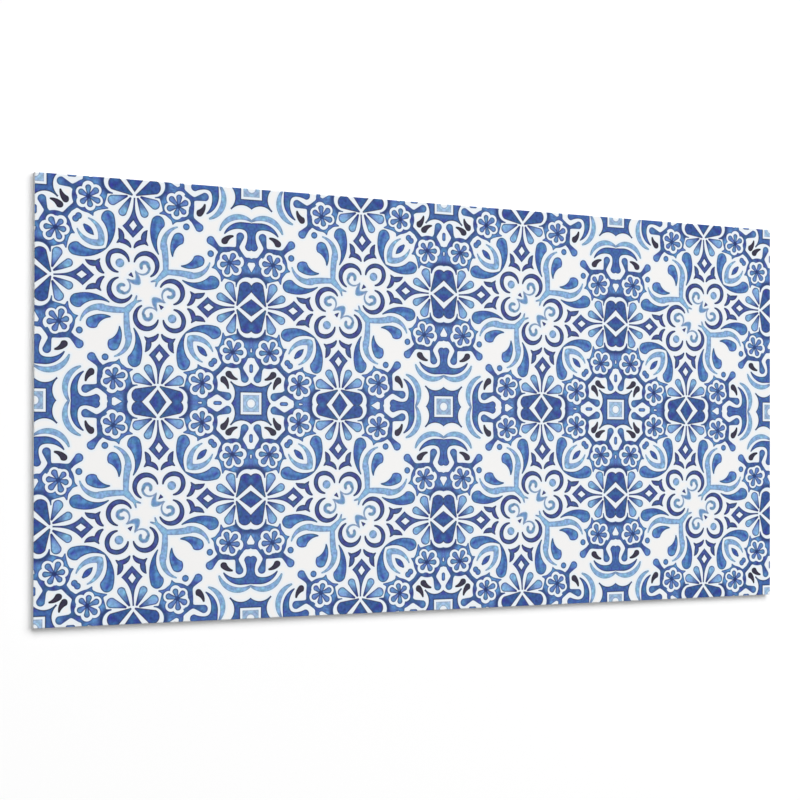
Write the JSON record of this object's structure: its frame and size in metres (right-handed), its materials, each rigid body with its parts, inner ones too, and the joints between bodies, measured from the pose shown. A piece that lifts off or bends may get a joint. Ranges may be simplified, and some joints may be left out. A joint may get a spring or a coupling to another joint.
{
  "type": "peel and stick wall panel",
  "caption": "Flat rectangular self-adhesive PVC wall panel with a blue and white tile-pattern print on its face, for covering walls and splashbacks.",
  "frame": {"origin": "middle of the back face, which lies on the floor or sticks to the wall", "axes": "+X along the long side, towards the print's right; +Y up the short side, towards the print's top; +Z out of the printed face"},
  "size_m": [0.6, 0.3, 0.005],
  "materials": {
    "printed_pvc": "satin white PVC with a blue and white tile print on the face, bare white cut edges and a release liner on the back"
  },
  "bodies": {
    "root": {"panel": "printed_pvc"}
  },
  "joints": []
}
